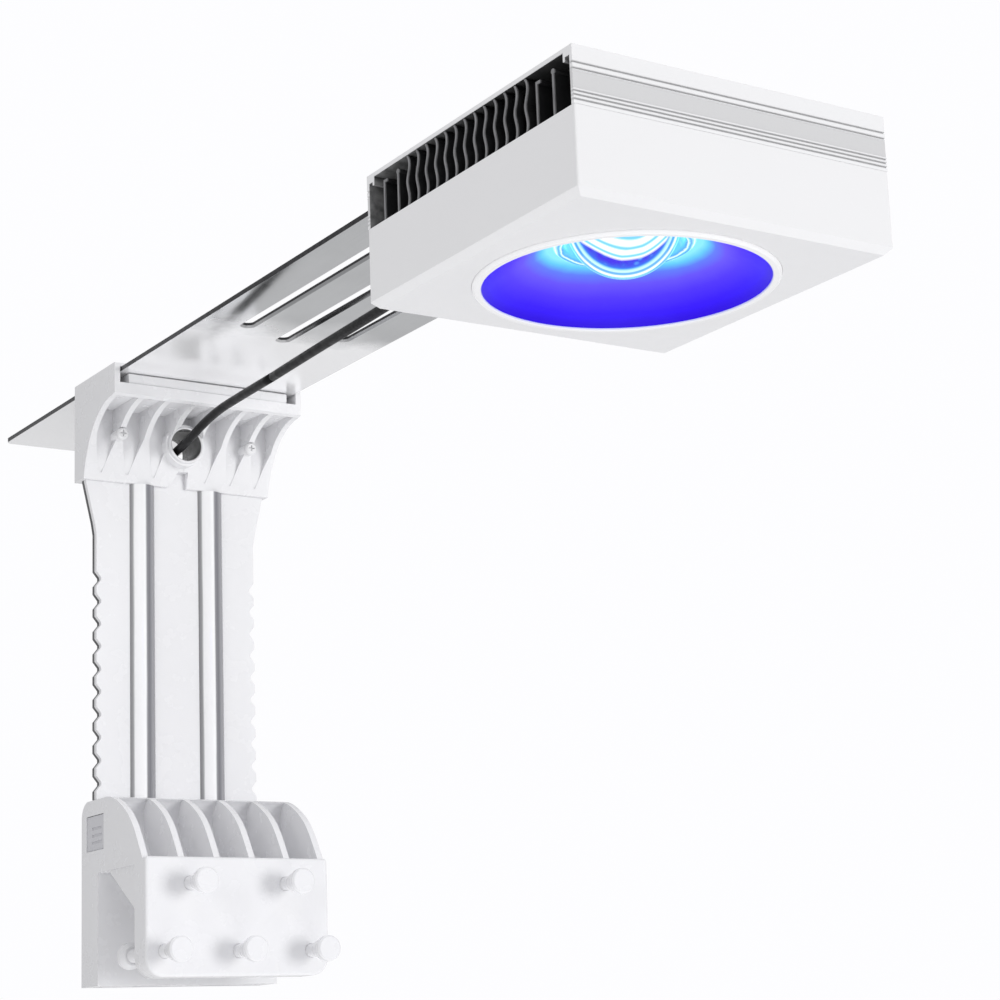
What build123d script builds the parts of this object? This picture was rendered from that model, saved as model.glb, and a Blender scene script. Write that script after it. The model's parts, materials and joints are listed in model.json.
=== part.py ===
from build123d import *
import math
import os

# Clip-on aquarium light: a rim clamp, a height-adjustable post, a sliding arm plate and a lamp head.
# Millimetres. X is across the clamp, -Y points over the water towards the lamp, +Z is up.
# The origin is the middle of the seat that rests on the tank's rim.

GAP = 0.3  # between pieces that slide past each other
TOUCH = 0.1  # between pieces of one body that are fitted together

# Rim clamp
RIM_W = 84.0
SEAT_DEPTH = 10.0
JAW_FRONT = SEAT_DEPTH / 2
JAW_BACK = 22.0
SLOT_FRONT = -32.0
APRON_T = 11.0
APRON_FRONT = SLOT_FRONT - APRON_T
APRON_TOP = 2.6
APRON_BOTTOM = -46.0
JAW_BOTTOM = -47.0
HOOD_TOP = 31.0
HOOD_RIBS = 6
HOOD_RIB_T = 2.8
WEB_X = [-39.9, -11.2, 11.2, 39.9]
WEB_T = 3.0
WEB_DROP = 18.5

# Thumb screws, each with a swivelling foot
SCREW_R = 2.92
SCREW_BORE_R = 3.0
SCREW_PLACES = [(-22.0, -8.2), (22.0, -8.2), (-33.6, -35.7), (0.0, -35.7), (33.6, -35.7)]
SCREW_NECK = 5.2  # more than the travel that draws the screw inwards
SCREW_CONE = 8.4
SCREW_DISC_R = 5.3
SCREW_DISC_T = 2.4
SCREW_WAIST_R = 3.9
SCREW_WAIST = 3.0  # along the cone from the neck
FOOT_FACE = -8.0
FOOT_R = 5.5
FOOT_T = 4.0
PIN_R = 2.22
SOCKET_R = 2.3

# Post board with toothed edges and two bright rails
POST_FRONT = 14.5
POST_T = 4.5
POST_BACK = POST_FRONT + POST_T
POST_W = 77.0
POST_HEAD_W = 87.0
POST_BOTTOM = -41.0
TOOTH_PITCH = 10.0
NOTCH_DEPTH = 2.2
NOTCH_MOUTH = 6.6
FIRST_NOTCH = -31.0
NOTCHES = 17
RAIL_X = 16.7
RAIL_W = 12.0
RAIL_H = 3.6
DETENT_Z = 19.0
CATCH_T = 1.4

# Arm bracket on top of the post
BRACKET_W = 91.0
BRACKET_WALL = 2.6
BRACKET_BOTTOM = 173.0
BRACKET_FRONT = -21.0
BRACKET_BACK = 22.5
BRACKET_RIBS = 8
DECK_TOP = 208.6
POCKET_TOP = 204.8
BUSH_Z = 190.9
BUSH_R = 8.4
BUSH_BORE_R = 7.2
BUSH_FRONT = 2.7
BOSS_Z = 192.3
BOSS_R = 2.8
BOSS_BORE_R = 1.6
BAR_SCREW_Y = -14.5
BAY_SHOULDER_Z = 191.5  # a bay is full width above this height and runs to a point below it
BAY_TIP_Z = 176.0

# Arm plate
PLATE_W = 85.0
PLATE_T = 2.0
PLATE_BOTTOM = 213.5
PLATE_TOP = PLATE_BOTTOM + PLATE_T
PLATE_FRONT = -380.0
PLATE_BACK = 112.5
SLOT_X = 22.3
SLOT_W = 5.0
SLOT_END = -372.0
SLOT_START_OUTER = -100.0
SLOT_START_MIDDLE = -88.5

# Lamp head
HEAD_W = 125.0
HEAD_BACK = -271.0
HEAD_FRONT = HEAD_BACK - HEAD_W
HEAD_Y = HEAD_BACK - HEAD_W / 2
HEAD_TOP = PLATE_BOTTOM - GAP
HEAD_H = 48.0
HEAD_BOTTOM = HEAD_TOP - HEAD_H
SPLIT_Z = HEAD_TOP - 19.5
COVER_T = 1.5
COVER_WALL = 1.5
SINK_BASE_T = 3.5
SINK_LOW = SPLIT_Z - SINK_BASE_T + 0.2
FINS = 13
FIN_PITCH = 6.0
FIN_T = 1.0
FIN_TOP = HEAD_TOP - COVER_T - TOUCH
LEG_TOP = FIN_TOP - 3.3
HOOKED_LEG = 42.3  # from the middle of the head to the hooked and the beaded leg at each end
BEADED_LEG = 51.4
HOUSING_SCREW_X = 56.0
HOUSING_WALL = 2.5
APERTURE_R = 48.5
BEZEL_R = 51.7
HOLDER_R = 24.0
LENS_R = 22.3
DOME_R = 19.6
BOLT_Y = [HEAD_BACK - 29.0, HEAD_BACK - 94.0]
BOLT_R = 2.3
PAD_T = 0.5
BOARD_T = 1.6
BOARD_Z = SINK_LOW - PAD_T - BOARD_T
DOME_Z = HEAD_BOTTOM + 21.7

# Power lead
LEAD_D = 3.8
GLAND_X = -33.0
GLAND_Z = 183.5
GLAND_L = 11.0
COIL_X = 3.0
COIL_Z = 118.0
COIL_FRONT = 25.5
COIL_TURN_R = 20.4
COIL_ROWS = 4
PLUG_X = 2.0
PLUG_Y = 31.0
PLUG_TOP = 54.0
PLUG_R = 5.0
PLUG_BODY_L = 28.0
PLUG_BARREL_R = 2.75
PLUG_BARREL_L = 9.5


def block(x, y, z):
    """A box between the low and high value of each axis."""
    size = [high - low for low, high in (x, y, z)]
    middle = [(low + high) / 2 for low, high in (x, y, z)]
    return Pos(*middle) * Box(*size)


def rod_y(radius, x, z, y_low, y_high):
    """A round bar along Y."""
    return Pos(x, (y_low + y_high) / 2, z) * Rot(90, 0, 0) * Cylinder(radius, y_high - y_low)


def rod_z(radius, x, y, z_low, z_high):
    """A round bar along Z."""
    return Pos(x, y, (z_low + z_high) / 2) * Cylinder(radius, z_high - z_low)


def prism_x(outline, x_low, x_high):
    """An outline drawn in (Y, Z), stretched along X."""
    return Pos(x_low, 0, 0) * extrude(Plane.YZ * outline, x_high - x_low)


def outline_of(*points):
    """A closed face with straight sides."""
    return make_face(Polyline(*points, close=True))


def turned_y(points, x, z):
    """A solid of revolution about the Y direction at (x, z); points are (radius, y)."""
    face = make_face(Polyline(*points, close=True))
    return Pos(x, 0, z) * revolve(face, Axis.Y)


def turned_z(points, x, y):
    """A solid of revolution about the Z direction at (x, y); points are (radius, z)."""
    face = Plane.XZ * make_face(Polyline(*points, close=True))
    return Pos(x, y, 0) * revolve(face, Axis.Z)


def save(name, *solids):
    """Writes one node."""
    shape = solids[0] if len(solids) == 1 else Compound(children=list(solids))
    export_step(shape, f"parts/{name}.step")


# ---------------------------------------------------------------- rim clamp


def hood_outline():
    """Side view of the hook: back jaw, ceiling over the rim, and the arched hood."""
    corner = 7.0
    arch = Spline(
        (-3, HOOD_TOP), (-17.6, 26.8), (-29.2, 18), (-37.8, 5.3), (-40.2, -4),
        tangents=[(-1, 0), (0, -1)],
    )
    edges = [
        Line((JAW_BACK, JAW_BOTTOM), (JAW_BACK, HOOD_TOP - corner)),
        RadiusArc((JAW_BACK, HOOD_TOP - corner), (JAW_BACK - corner, HOOD_TOP), -corner),
        Line((JAW_BACK - corner, HOOD_TOP), (-3, HOOD_TOP)),
        arch,
        Polyline((-40.2, -4), (SLOT_FRONT, -4), (SLOT_FRONT, 0), (JAW_FRONT, 0)),
        Polyline((JAW_FRONT, 0), (JAW_FRONT, JAW_BOTTOM), (JAW_BACK, JAW_BOTTOM)),
    ]
    return make_face(edges)


def hood_pocket():
    """Side view of one scooped bay between two ribs of the hood."""
    floor_back = -17.5
    outside_y, outside_z = -60.0, 45.0
    scoop = Spline((-11.5, 30.4), (-5.5, 24), (-7, 15), (-12, 7.5), (floor_back, APRON_TOP))
    edges = [
        scoop,
        Polyline((floor_back, APRON_TOP), (outside_y, APRON_TOP), (outside_y, outside_z)),
        Polyline((outside_y, outside_z), (-11.5, outside_z), (-11.5, 30.4)),
    ]
    return make_face(edges)


def apron():
    """The front plate that carries the thumb screws."""
    half = RIM_W / 2
    plate = block((-half, half), (APRON_FRONT, SLOT_FRONT), (APRON_BOTTOM, APRON_TOP))
    low = plate.edges().filter_by(Axis.Y).group_by(Axis.Z)[0]
    plate = fillet(low, 8.0)
    high = plate.edges().filter_by(Axis.Y).group_by(Axis.Z)[-1]
    plate = fillet(high, 1.5)
    return fillet(plate.faces().sort_by(Axis.Y)[0].edges(), 1.4)


def rim_clamp_body():
    half = RIM_W / 2
    body = prism_x(hood_outline(), -half, half)
    pitch = (RIM_W - HOOD_RIB_T) / (HOOD_RIBS - 1)
    for bay in range(HOOD_RIBS - 1):
        left = -half + HOOD_RIB_T + bay * pitch
        body -= prism_x(hood_pocket(), left, left + pitch - HOOD_RIB_T)
    body += apron()
    web = outline_of((-SEAT_DEPTH / 2, 0), (SLOT_FRONT, 0), (SLOT_FRONT, -WEB_DROP))
    for middle in WEB_X:
        body += prism_x(web, middle - WEB_T / 2, middle + WEB_T / 2)
    # channel for the post, with grooves for its rails
    reach = (JAW_BOTTOM - 1, HOOD_TOP + 1)
    channel_half = POST_W / 2 + GAP
    body -= block((-channel_half, channel_half), (POST_FRONT - GAP, POST_BACK + GAP), reach)
    for side in (-1, 1):
        groove = RAIL_W / 2 + GAP
        centre = side * RAIL_X
        y = (POST_FRONT - RAIL_H - GAP, POST_FRONT)
        body -= block((centre - groove, centre + groove), y, reach)
        body -= detent_recess(side)
    for x, z in SCREW_PLACES:
        body -= rod_y(SCREW_BORE_R, x, z, APRON_FRONT - 1, SLOT_FRONT + 1)
    return body


def across(side, inner, outer):
    """A span along X on one side of the middle, low value first."""
    return tuple(sorted((side * inner, side * outer)))


def detent_recess(side):
    """Window in the clamp's side and the passage for the catch's tooth."""
    half = RIM_W / 2
    window = block(across(side, half - CATCH_T - 0.5, half + 1), (-1.0, 17.0), (9.5, 24.5))
    tooth_z = (DETENT_Z - 3.6, DETENT_Z + 3.6)
    passage = block(across(side, POST_W / 2 - 1, half - 1), (14.2, 16.9), tooth_z)
    return window + passage


def detent_clip(side):
    """Catch: a ribbed cover plate outside, and a pointed tooth that stands at a notch of the post."""
    half = RIM_W / 2
    root = half - 0.4 - CATCH_T
    cover = block(across(side, root, half - 0.4), (-0.8, 16.8), (9.7, 24.3))
    for step in range(3):
        z = 13.0 + step * 3.0
        cover -= block(across(side, half - 0.9, half), (2.0, 12.0), (z - 0.5, z + 0.5))
    tip = POST_W / 2 + 0.15
    shoulder = tip + 0.8
    face = outline_of(
        (side * root, DETENT_Z - 3.2), (side * shoulder, DETENT_Z - 1.9), (side * tip, DETENT_Z),
        (side * shoulder, DETENT_Z + 1.9), (side * root, DETENT_Z + 3.2),
    )
    tooth = extrude(Plane((0, 14.6, 0), (1, 0, 0), (0, -1, 0)) * face, -2.0)
    return cover + tooth


def thumb_screw(x, z):
    """Screw with a flared grip outside the apron and a plain pin for its foot."""
    cone_start = APRON_FRONT - SCREW_NECK
    disc_start = cone_start - SCREW_CONE
    end = disc_start - SCREW_DISC_T
    shank_end = FOOT_FACE - FOOT_T - GAP
    pin_end = FOOT_FACE - 1.0 - GAP
    rim = 0.7
    profile = [
        (0, end), (SCREW_DISC_R - rim, end), (SCREW_DISC_R, end + rim), (SCREW_DISC_R, disc_start),
        (SCREW_WAIST_R, cone_start - SCREW_WAIST), (SCREW_R, cone_start),
        (SCREW_R, shank_end), (PIN_R, shank_end), (PIN_R, pin_end), (0, pin_end),
    ]
    return turned_y(profile, x, z)


def pressure_foot(x, z):
    """Round foot that swivels on the screw's pin and bears on the glass."""
    back = FOOT_FACE - FOOT_T
    profile = [
        (SOCKET_R, back), (FOOT_R - 1.6, back), (FOOT_R, back + 1.8), (FOOT_R, FOOT_FACE),
        (0, FOOT_FACE), (0, FOOT_FACE - 1.0), (SOCKET_R, FOOT_FACE - 1.0),
    ]
    return turned_y(profile, x, z)


# ---------------------------------------------------------------- post


def post_edge():
    """Right-hand edge of the board from bottom to top, as (x, z) points."""
    half, head_half = POST_W / 2, POST_HEAD_W / 2
    points = [(half - 2.0, POST_BOTTOM), (half, POST_BOTTOM + 2.0)]
    for k in range(NOTCHES):
        z = FIRST_NOTCH + k * TOOTH_PITCH
        mouth, root = NOTCH_MOUTH / 2, 0.6
        points += [
            (half, z - mouth), (half - NOTCH_DEPTH, z - root),
            (half - NOTCH_DEPTH, z + root), (half, z + mouth),
        ]
    shoulder = [(half, 149.0), (half + 0.8, 154.0), (half + 3.0, 163.5), (head_half, 172.5)]
    return points + shoulder + [(head_half, DECK_TOP - 4.6)]


def post_board():
    right = post_edge()
    left = [(-x, z) for x, z in reversed(right)]
    face = Plane((0, POST_BACK, 0), (1, 0, 0), (0, -1, 0)) * outline_of(*right, *left)
    board = extrude(face, POST_T)
    board -= rod_y(BUSH_R + TOUCH, 0, BUSH_Z, POST_FRONT - 1, POST_BACK + 1)
    for x in boss_places():
        board -= rod_y(1.7, x, BOSS_Z, POST_FRONT - 1, POST_BACK + 1)
    # shallow guide recess down the middle of the back, which keeps the board light
    board -= block((-22, 22), (POST_BACK - 1.0, POST_BACK + 1), (POST_BOTTOM + 12, 165))
    return board


def post_rail(side):
    """Half-round bright rail on the front of the board."""
    half = RAIL_W / 2
    face = make_face([
        ThreePointArc((-half, 0), (0, -RAIL_H), (half, 0)),
        Line((half, 0), (-half, 0)),
    ])
    low, high = POST_BOTTOM + 1.0, BRACKET_BOTTOM - TOUCH
    return Pos(side * RAIL_X, POST_FRONT, low) * extrude(face, high - low)


# ---------------------------------------------------------------- arm bracket


def rib_pitch():
    return (BRACKET_W - BRACKET_WALL) / (BRACKET_RIBS - 1)


def boss_places():
    """X of the two screw bosses, on the second rib from each side."""
    x = BRACKET_W / 2 - BRACKET_WALL / 2 - rib_pitch()
    return (-x, x)


def bracket_outline():
    """Side view: deck, front lip and the concave underside that runs into the flange."""
    cove = Spline((-18.6, 203.2), (-6.8, 200.2), (-0.5, 196.2), (6.4, 188.0), (10.8, 179.0), (12.4, 173.0))
    edges = [
        Polyline((BRACKET_FRONT, DECK_TOP), (BRACKET_FRONT, 203.8), (-18.6, 203.2)),
        cove,
        Polyline((12.4, 173.0), (BRACKET_BACK, 173.0), (BRACKET_BACK, DECK_TOP), (BRACKET_FRONT, DECK_TOP)),
    ]
    return make_face(edges)


def bracket_pocket():
    """Side view of one bay between two ribs."""
    back = 9.5
    tip = (12.2, 176.4)
    outside = -40.0
    edges = [
        Polyline((-18.6, POCKET_TOP), (back, POCKET_TOP), (back, 190.0)),
        Spline((back, 190.0), (9.9, 183.0), tip, tangents=[(0, -1), (0.5, -1)]),
        Polyline(tip, (outside, tip[1]), (outside, 203.2), (-18.6, 203.2), (-18.6, POCKET_TOP)),
    ]
    return make_face(edges)


def bay_taper(middle):
    """Front view of one bay: as wide as the gap between the ribs, then a V down to a point."""
    wide, tip = (rib_pitch() - BRACKET_WALL) / 2, 0.5
    above = POCKET_TOP + 7.0
    front = Plane((middle, BRACKET_BACK, 0), (1, 0, 0), (0, -1, 0))
    sides = outline_of(
        (-wide, above), (wide, above), (wide, BAY_SHOULDER_Z), (tip, BAY_TIP_Z),
        (-tip, BAY_TIP_Z), (-wide, BAY_SHOULDER_Z),
    )
    return extrude(front * sides, 80)


def arm_bracket():
    half = BRACKET_W / 2
    inner = half - BRACKET_WALL
    body = prism_x(bracket_outline(), -half, half)
    for bay in range(BRACKET_RIBS - 1):
        left = -half + BRACKET_WALL + bay * rib_pitch()
        right = left + rib_pitch() - BRACKET_WALL
        body -= prism_x(bracket_pocket(), left, right) & bay_taper((left + right) / 2)
    # raised land behind the clamp bar, side walls and the lips over the plate's edges
    land_top = PLATE_BOTTOM - GAP
    lip_bottom, lip_top = PLATE_TOP + GAP, PLATE_TOP + GAP + 1.5
    body += block((-inner, inner), (-8.0, BRACKET_BACK), (DECK_TOP, land_top))
    for side in (-1, 1):
        body += block(across(side, inner, half), (BRACKET_FRONT, BRACKET_BACK), (DECK_TOP, lip_top))
        body += block(across(side, inner - 3.2, half), (BRACKET_FRONT, BRACKET_BACK), (lip_bottom, lip_top))
    # socket for the post's head, cable bore, bosses and the notch under the bore
    post_half = POST_HEAD_W / 2 + TOUCH
    socket_y = (POST_FRONT - TOUCH, POST_BACK + TOUCH)
    body -= block((-post_half, post_half), socket_y, (BRACKET_BOTTOM - 1, DECK_TOP - 4.5))
    body += rod_y(BUSH_R + 1.1, 0, BUSH_Z, 4.2, POST_FRONT - TOUCH)
    body -= rod_y(BUSH_R + TOUCH / 2, 0, BUSH_Z, BRACKET_FRONT - 1, BRACKET_BACK + 1)
    for x in boss_places():
        body += rod_y(BOSS_R, x, BOSS_Z, 3.0, POST_FRONT - TOUCH)
        body -= rod_y(BOSS_R + TOUCH, x, BOSS_Z, BRACKET_FRONT, 3.0)
        body -= rod_y(BOSS_BORE_R, x, BOSS_Z, 0, BRACKET_BACK - 1.2)
        body -= rod_z(1.7, bar_screw_x(x), BAR_SCREW_Y, POCKET_TOP - 1, DECK_TOP + 1)
    left, right, top = -4.8, 4.2, 180.2
    below = BRACKET_BOTTOM - 1
    notch = outline_of(
        (left, below), (right, below), (right, top), (left + 4.2, top), (left + 3.0, top - 2.8),
        (left, BRACKET_BOTTOM + 0.6),
    )
    body -= extrude(Plane((0, POST_FRONT - TOUCH, 0), (1, 0, 0), (0, -1, 0)) * notch, 10)
    return body


def bar_screw_x(boss_x):
    """The bar screws stand in the middle of the bays inboard of the bosses."""
    return math.copysign(abs(boss_x) - rib_pitch() / 2, boss_x)


def arm_clamp_bar():
    """Loose bar that the two set screws press up against the arm plate."""
    half = PLATE_W / 2 - 3.9
    bar = block((-half, half), (BRACKET_FRONT + 0.4, -8.4), (DECK_TOP + TOUCH, PLATE_BOTTOM - GAP))
    return fillet(bar.edges().filter_by(Axis.X).group_by(Axis.Y)[0], 0.8)


def set_screw(x):
    """Hexagon-socket set screw under the clamp bar."""
    low = POCKET_TOP + 0.2
    screw = rod_z(1.6, x, BAR_SCREW_Y, low, DECK_TOP)
    socket = extrude(Plane((x, BAR_SCREW_Y, low)) * RegularPolygon(0.9, 6), 1.8)
    return screw - socket


def bracket_screw(x):
    """Cross-head screw that holds the bracket to the post."""
    head = turned_y([(0, 0.9), (1.9, 0.9), (2.6, 1.7), (2.6, 2.95), (0, 2.95)], x, BOSS_Z)
    shank = rod_y(1.5, x, BOSS_Z, 2.9, BRACKET_BACK - 1.5)
    drive = block((x - 1.4, x + 1.4), (0.8, 1.9), (BOSS_Z - 0.3, BOSS_Z + 0.3))
    drive += block((x - 0.3, x + 0.3), (0.8, 1.9), (BOSS_Z - 1.4, BOSS_Z + 1.4))
    return head + shank - drive


def cable_bush():
    """Ring that lines the cable's way through the bracket and the post."""
    profile = [
        (BUSH_BORE_R + 0.5, BUSH_FRONT), (BUSH_R - 0.5, BUSH_FRONT), (BUSH_R, BUSH_FRONT + 0.5),
        (BUSH_R, BRACKET_BACK - TOUCH), (BUSH_BORE_R, BRACKET_BACK - TOUCH),
        (BUSH_BORE_R, BUSH_FRONT + 0.5),
    ]
    return turned_y(profile, 0, BUSH_Z)


# ---------------------------------------------------------------- arm plate


def slot_cutter(x, start):
    """A long round-ended slot with a bevelled mouth on the underside."""
    length = start - SLOT_END
    centre = Pos(x, (start + SLOT_END) / 2, 0) * Rot(0, 0, 90)
    cut = Pos(0, 0, PLATE_BOTTOM - 1) * extrude(centre * SlotOverall(length, SLOT_W), PLATE_T + 2)
    wide = Pos(0, 0, PLATE_BOTTOM) * (centre * SlotOverall(length + 1.8, SLOT_W + 1.8))
    narrow = Pos(0, 0, PLATE_BOTTOM + 0.9) * (centre * SlotOverall(length, SLOT_W))
    return cut + loft([wide, narrow])


def arm_plate():
    half = PLATE_W / 2
    plate = block((-half, half), (PLATE_FRONT, PLATE_BACK), (PLATE_BOTTOM, PLATE_TOP))
    plate = fillet(plate.edges().filter_by(Axis.Z), 3.0)
    for x, start in ((-SLOT_X, SLOT_START_OUTER), (0, SLOT_START_MIDDLE), (SLOT_X, SLOT_START_OUTER)):
        plate -= slot_cutter(x, start)
    return plate


# ---------------------------------------------------------------- lamp head


def grooved_wall(face_y, inward):
    """Section of the cover's wall; inward is +1 or -1 along Y. Fine grooves run along X."""
    band_top, band_bottom = 8.4, 14.4
    points = [(face_y, HEAD_TOP)]
    for depth in (5.6, 7.6, 14.9, 16.2, 17.6):
        z = HEAD_TOP - depth
        points += [(face_y, z), (face_y + inward * 0.6, z - 0.15), (face_y + inward * 0.6, z - 0.45)]
        points += [(face_y, z - 0.6)]
        if depth == 7.6:
            sunk = face_y + inward * 0.25
            points += [(face_y, HEAD_TOP - band_top), (sunk, HEAD_TOP - band_top - 0.1)]
            points += [(sunk, HEAD_TOP - band_bottom + 0.1), (face_y, HEAD_TOP - band_bottom)]
    back = face_y + inward * COVER_WALL
    points += [(face_y, SPLIT_Z + TOUCH), (back, SPLIT_Z + TOUCH), (back, HEAD_TOP)]
    return outline_of(*points)


def head_cover():
    """White extruded cover: a top sheet and two grooved walls, open at both ends."""
    half = HEAD_W / 2
    top = outline_of(
        (HEAD_FRONT, HEAD_TOP), (HEAD_BACK, HEAD_TOP),
        (HEAD_BACK, HEAD_TOP - COVER_T), (HEAD_FRONT, HEAD_TOP - COVER_T),
    )
    section = top + grooved_wall(HEAD_FRONT, 1) + grooved_wall(HEAD_BACK, -1)
    for inward, wall in ((1, HEAD_FRONT + COVER_WALL), (-1, HEAD_BACK - COVER_WALL)):
        hook = outline_of(
            (wall, HEAD_TOP - COVER_T), (wall + inward * 3.4, HEAD_TOP - COVER_T),
            (wall + inward * 3.4, HEAD_TOP - 4.6), (wall + inward * 2.4, HEAD_TOP - 4.6),
            (wall + inward * 2.4, HEAD_TOP - 3.2), (wall, HEAD_TOP - 3.2),
        )
        section += hook
    cover = prism_x(section, -half, half)
    for x, y in bolt_places():
        cover -= rod_z(BOLT_R + 0.3, x, y, HEAD_TOP - COVER_T - 1, HEAD_TOP + 1)
    return cover


def bolt_places():
    return [(x, y) for x in (-SLOT_X, SLOT_X) for y in BOLT_Y]


def housing_screw_places():
    offset = FIN_PITCH * (FINS / 2 - 1)
    return [(x, HEAD_Y + y) for x in (-HOUSING_SCREW_X, HOUSING_SCREW_X) for y in (-offset, offset)]


def wavy_fin(y, base):
    """Section of one fin: a thin wall that snakes from side to side."""
    sways = (0.0, -0.5, 0.4, -1.0, 0.0)
    rise = (FIN_TOP - base) / (len(sways) - 1)
    right = [(y + FIN_T / 2 + sway, base + row * rise) for row, sway in enumerate(sways)]
    left = [(a - FIN_T, b) for a, b in right]
    return make_face([
        Spline(*right), Line(right[-1], left[-1]), Spline(*reversed(left)), Line(left[0], right[0]),
    ])


def heat_sink():
    """Black finned block: its base sits inside the tray, its fins stand up to the cover."""
    base_top = SINK_LOW + SINK_BASE_T
    front, back = HEAD_FRONT + HOUSING_WALL + TOUCH, HEAD_BACK - HOUSING_WALL - TOUCH
    section = rect(front, back, SINK_LOW, base_top)
    first = HEAD_Y - FIN_PITCH * (FINS - 1) / 2
    for k in range(FINS):
        section += wavy_fin(first + k * FIN_PITCH, base_top - 0.2)
    for hooked, beaded in ((HOOKED_LEG, BEADED_LEG), (-BEADED_LEG, -HOOKED_LEG)):
        leg, post = HEAD_Y - hooked, HEAD_Y - beaded
        section += rect(leg - FIN_T / 2, leg + FIN_T / 2, base_top - 0.2, LEG_TOP)
        section += rect(leg - FIN_T / 2 - 1.6, leg + FIN_T / 2, LEG_TOP - FIN_T, LEG_TOP)
        section += rect(post - FIN_T / 2, post + FIN_T / 2, base_top - 0.2, LEG_TOP)
        section += Pos(post, LEG_TOP) * Circle(0.9)
    half = HEAD_W / 2
    sink = prism_x(section, -half + 0.4, half - 0.4)
    inside = half - HOUSING_WALL - TOUCH
    for side in (-1, 1):
        sink -= block(across(side, inside, half), (HEAD_FRONT, HEAD_BACK), (SINK_LOW - 1, SPLIT_Z + TOUCH))
    for x, y in bolt_places():
        sink -= rod_z(6.2, x, y, base_top + 0.5, HEAD_TOP)
    for x, y in housing_screw_places():
        sink -= rod_z(4.0, x, y, base_top, LEG_TOP)
        sink -= rod_z(1.7, x, y, SINK_LOW - 1, base_top + 1)
        sink -= turned_z([(0, base_top - 1.6), (1.6, base_top - 1.6), (2.5, base_top + 0.1),
                          (0, base_top + 0.1)], x, y)
    return sink


def rect(y_low, y_high, z_low, z_high):
    return outline_of((y_low, z_low), (y_high, z_low), (y_high, z_high), (y_low, z_high))


def lower_housing():
    """White tray with a round aperture in its floor and four screw posts inside."""
    half = HEAD_W / 2
    outer = block((-half, half), (HEAD_FRONT, HEAD_BACK), (HEAD_BOTTOM, SPLIT_Z))
    outer = chamfer(outer.faces().sort_by(Axis.Z)[0].edges(), 2.4)
    outer = fillet(outer.edges().filter_by(Axis.Z), 0.8)
    wall = HOUSING_WALL
    inside = block(
        (-half + wall, half - wall), (HEAD_FRONT + wall, HEAD_BACK - wall),
        (HEAD_BOTTOM + wall, SPLIT_Z + 1),
    )
    tray = outer - inside
    for x, y in housing_screw_places():
        tray += rod_z(3.4, x, y, HEAD_BOTTOM + wall, SINK_LOW - TOUCH)
        tray += block(across(math.copysign(1, x), abs(x), half - wall), (y - 1, y + 1),
                      (HEAD_BOTTOM + wall, SINK_LOW - 4))
        tray -= rod_z(1.2, x, y, SINK_LOW - 12, SINK_LOW)
    tray -= rod_z(BEZEL_R + TOUCH, 0, HEAD_Y, HEAD_BOTTOM - 1, HEAD_BOTTOM + wall + 1)
    tray -= rod_y(3.1, GLAND_X, GLAND_Z, HEAD_BACK - wall - 1, HEAD_BACK + 1)
    return tray


def bezel_ring():
    """Raised ring around the aperture, with a flange that the tray's floor traps."""
    low = HEAD_BOTTOM - 1.3
    profile = [
        (APERTURE_R, low + 0.4), (APERTURE_R + 0.4, low), (BEZEL_R - 0.9, low), (BEZEL_R, low + 0.9),
        (BEZEL_R, HEAD_BOTTOM + HOUSING_WALL + TOUCH), (BEZEL_R + 2.0, HEAD_BOTTOM + HOUSING_WALL + TOUCH),
        (BEZEL_R + 2.0, HEAD_BOTTOM + 4.2), (APERTURE_R, HEAD_BOTTOM + 4.2),
    ]
    return turned_z(profile, 0, HEAD_Y)


def reflector_height(radius):
    """Height of the bowl's inner surface: shallow at the mouth, steeper at the lens."""
    share = (APERTURE_R - radius) / (APERTURE_R - HOLDER_R)
    return HEAD_BOTTOM - 0.7 + 14.4 * share ** 0.82


def reflector():
    """Shallow bowl between the bezel ring and the lens holder."""
    skin = 1.2
    steps = 8
    mouth = APERTURE_R - TOUCH
    radii = [mouth + (HOLDER_R + TOUCH - mouth) * k / steps for k in range(steps + 1)]
    inner = [(radius, reflector_height(radius)) for radius in radii]
    outer = [(radius, height + skin) for radius, height in inner]
    edges = [
        Spline(*inner), Line(inner[-1], outer[-1]), Spline(*reversed(outer)), Line(outer[0], inner[0]),
    ]
    bowl = revolve(Plane.XZ * make_face(edges), Axis.Z)
    return Pos(0, HEAD_Y, 0) * bowl


def lens_holder():
    """Stepped ring that carries the lens in the middle of the bowl."""
    low = HEAD_BOTTOM + 12.6
    top = BOARD_Z - 0.1
    shelf = DOME_Z - 1.9
    throat = DOME_R + 0.5
    profile = [
        (throat + 1.2, low), (HOLDER_R - 0.9, low), (HOLDER_R, low + 0.9), (HOLDER_R, top),
        (LENS_R + TOUCH, top), (LENS_R + TOUCH, shelf), (throat, shelf), (throat, low + 1.2),
    ]
    return turned_z(profile, 0, HEAD_Y)


def lens():
    """Glass lens: a half ball facing the water, with a flange that rests in the ring."""
    edges = [
        RadiusArc((0, DOME_Z - DOME_R), (DOME_R, DOME_Z), -DOME_R),
        Polyline((DOME_R, DOME_Z), (DOME_R, DOME_Z - 1.8), (LENS_R, DOME_Z - 1.8), (LENS_R, DOME_Z + 0.2)),
        Polyline((LENS_R, DOME_Z + 0.2), (0, DOME_Z + 0.2), (0, DOME_Z - DOME_R)),
    ]
    return Pos(0, HEAD_Y, 0) * revolve(Plane.XZ * make_face(edges), Axis.Z)


def led_chips():
    """Emitters in rings on the round board."""
    size, height = 3.5, 0.8
    top = BOARD_Z
    chips = []
    for count, radius in ((1, 0.0), (6, 6.4), (12, 12.4)):
        for k in range(count):
            angle = 360 * k / count
            place = Pos(0, HEAD_Y, top - height / 2) * Rot(0, 0, angle) * Pos(radius, 0, 0)
            chips.append(place * Box(size, size, height))
    return chips


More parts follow.
